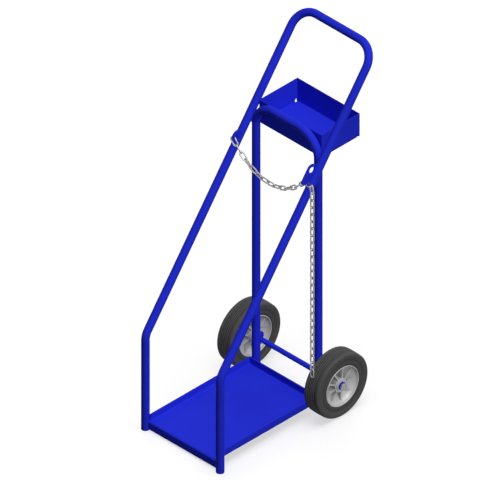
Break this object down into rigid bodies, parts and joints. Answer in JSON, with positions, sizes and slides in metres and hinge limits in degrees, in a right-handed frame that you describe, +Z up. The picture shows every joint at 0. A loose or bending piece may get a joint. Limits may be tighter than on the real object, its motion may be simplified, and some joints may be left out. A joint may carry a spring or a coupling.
{
  "type": "double cylinder cart",
  "caption": "Upright hand cart for two gas cylinders: bent tube frame, lipped deck, tool tray, spoked wheels on a fixed axle and a retaining chain.",
  "frame": {"origin": "on the ground under the middle of the bounding box", "axes": "+X across the cart to the side where the chain's tail hangs, +Y from the open front to the handle at the rear, +Z up"},
  "size_m": [0.4246, 0.659, 1.1927],
  "materials": {
    "blue_paint": "smooth satin-gloss royal blue enamel",
    "chain_steel": "dull zinc-plated steel",
    "tyre_rubber": "matte dark grey solid rubber",
    "hub_metal": "as-cast light grey with a soft sheen",
    "bearing_brass": "plain sintered bronze",
    "cap_steel": "zinc-plated pressed steel"
  },
  "bodies": {
    "frame": {"handle_frame": "blue_paint", "back_frame": "blue_paint", "platform": "blue_paint", "tool_tray": "blue_paint", "axle": "blue_paint", "left_axle_gusset": "blue_paint", "right_axle_gusset": "blue_paint", "left_chain_lug": "blue_paint", "right_chain_hook": "blue_paint", "chain_anchor_link": "chain_steel", "chain_hook_link": "chain_steel", "left_washer": "chain_steel", "left_collar": "blue_paint", "left_axle_cap": "cap_steel", "right_washer": "chain_steel", "right_collar": "blue_paint", "right_axle_cap": "cap_steel"},
    "left_wheel": {"left_tyre": "tyre_rubber", "left_hub": "hub_metal", "left_bush": "bearing_brass"},
    "right_wheel": {"right_tyre": "tyre_rubber", "right_hub": "hub_metal", "right_bush": "bearing_brass"},
    "span": {"chain_span": "chain_steel"},
    "tail": {"chain_tail": "chain_steel"}
  },
  "joints": [
    {"name": "left_wheel_spin", "type": "hinge", "parent": "frame", "child": "left_wheel", "pos_m": [-0.1778, 0.13017, 0.1048], "axis": [1, 0, 0], "continuous": true},
    {"name": "right_wheel_spin", "type": "hinge", "parent": "frame", "child": "right_wheel", "pos_m": [0.1778, 0.13017, 0.1048], "axis": [1, 0, 0], "continuous": true},
    {"name": "span_swing", "type": "hinge", "parent": "frame", "child": "span", "pos_m": [-0.1368, 0.03904, 0.83213], "axis": [0.9995, -0.0051, 0.0324], "range_deg": [-10, 10]},
    {"name": "tail_swing", "type": "hinge", "parent": "frame", "child": "tail", "pos_m": [0.1701, 0.03762, 0.83912], "axis": [0, -1, 0], "range_deg": [0, 30]}
  ]
}
